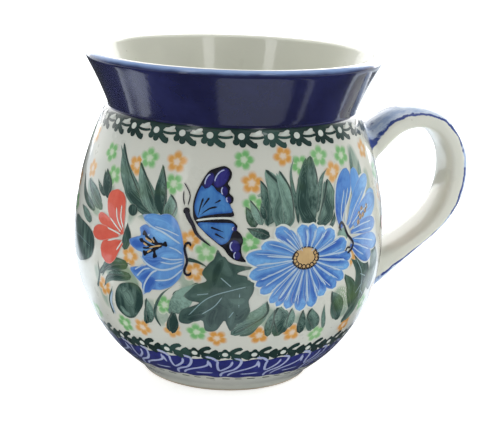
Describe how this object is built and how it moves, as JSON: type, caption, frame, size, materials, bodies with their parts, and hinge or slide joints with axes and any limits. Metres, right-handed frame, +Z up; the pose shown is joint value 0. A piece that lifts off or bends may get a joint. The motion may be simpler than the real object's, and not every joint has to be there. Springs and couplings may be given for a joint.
{
  "type": "stoneware mug",
  "caption": "Round-bellied stoneware mug with a flared cobalt collar, a turned foot ring and a strap handle joined on with slip.",
  "frame": {"origin": "on the axis of the belly, in the plane that the foot ring stands on", "axes": "+Z up along the axis of the belly, +X out through the middle of the handle"},
  "size_m": [0.1249, 0.096, 0.1],
  "materials": {
    "stoneware": "matte",
    "handle_stoneware": "gloss",
    "slip": "gloss",
    "cobalt_glaze": "gloss",
    "clear_glaze": "gloss",
    "liner_glaze": "gloss"
  },
  "bodies": {
    "root": {"stoneware_body": "stoneware", "handle": "handle_stoneware", "upper_slip_joint": "slip", "lower_slip_joint": "slip", "collar_glaze": "cobalt_glaze", "belly_glaze": "clear_glaze", "liner_glaze": "liner_glaze"}
  },
  "joints": []
}
